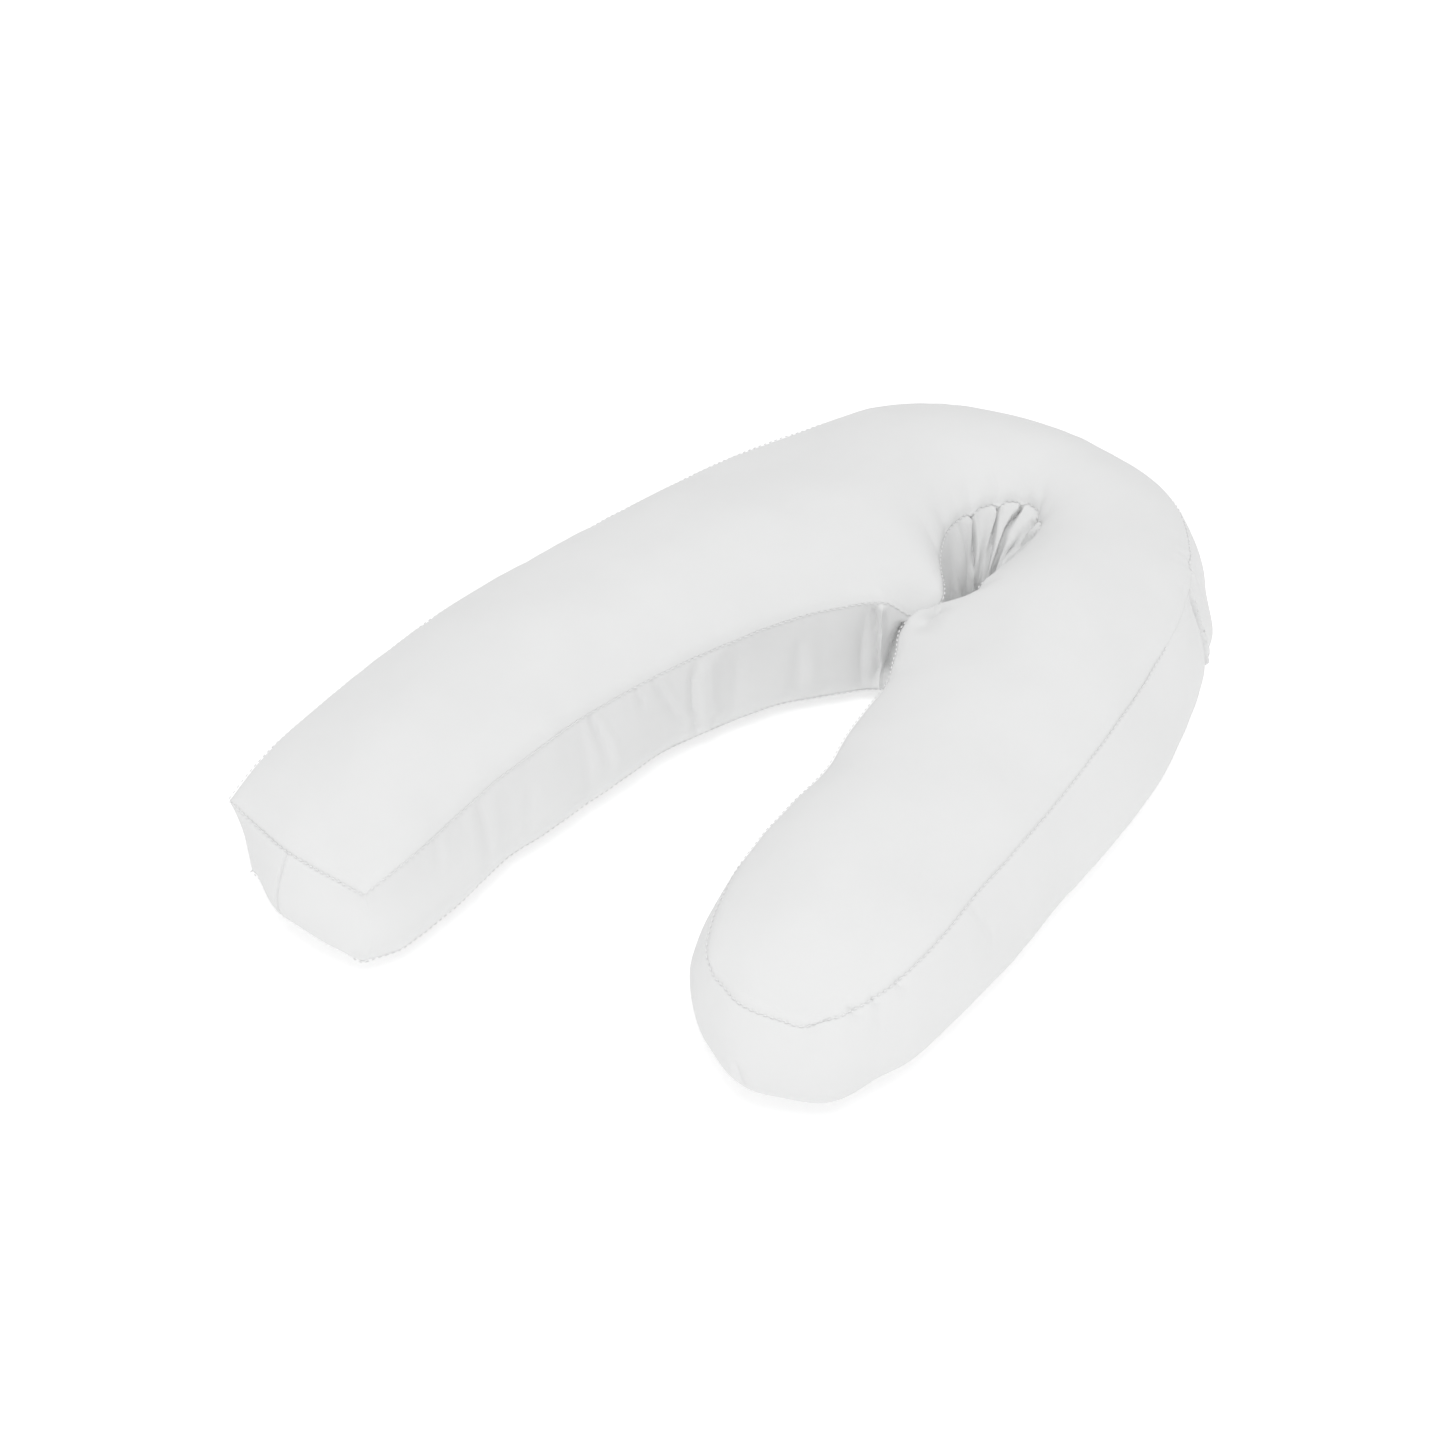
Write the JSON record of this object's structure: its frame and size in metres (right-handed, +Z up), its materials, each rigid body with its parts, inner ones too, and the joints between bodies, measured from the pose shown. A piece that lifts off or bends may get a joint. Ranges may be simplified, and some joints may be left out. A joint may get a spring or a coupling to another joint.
{
  "type": "side sleeper body pillow",
  "caption": "U-shaped boxed pillow for side sleepers, with unequal arms, a rounded bend and a gathered ear hole behind its pinched slot.",
  "frame": {"origin": "middle of the pillow's box, on the surface it lies on", "axes": "+X from the arms' free ends towards the bend, +Y towards the longer arm, +Z up out of the top panel"},
  "size_m": [0.7016, 0.486, 0.1311],
  "materials": {
    "band_cloth": "plain white cotton, matte, finely woven",
    "panel_cloth": "plain white cotton, matte, finely woven"
  },
  "bodies": {
    "root": {"filled_body": "band_cloth", "top_panel": "panel_cloth", "bottom_panel": "panel_cloth"}
  },
  "joints": []
}
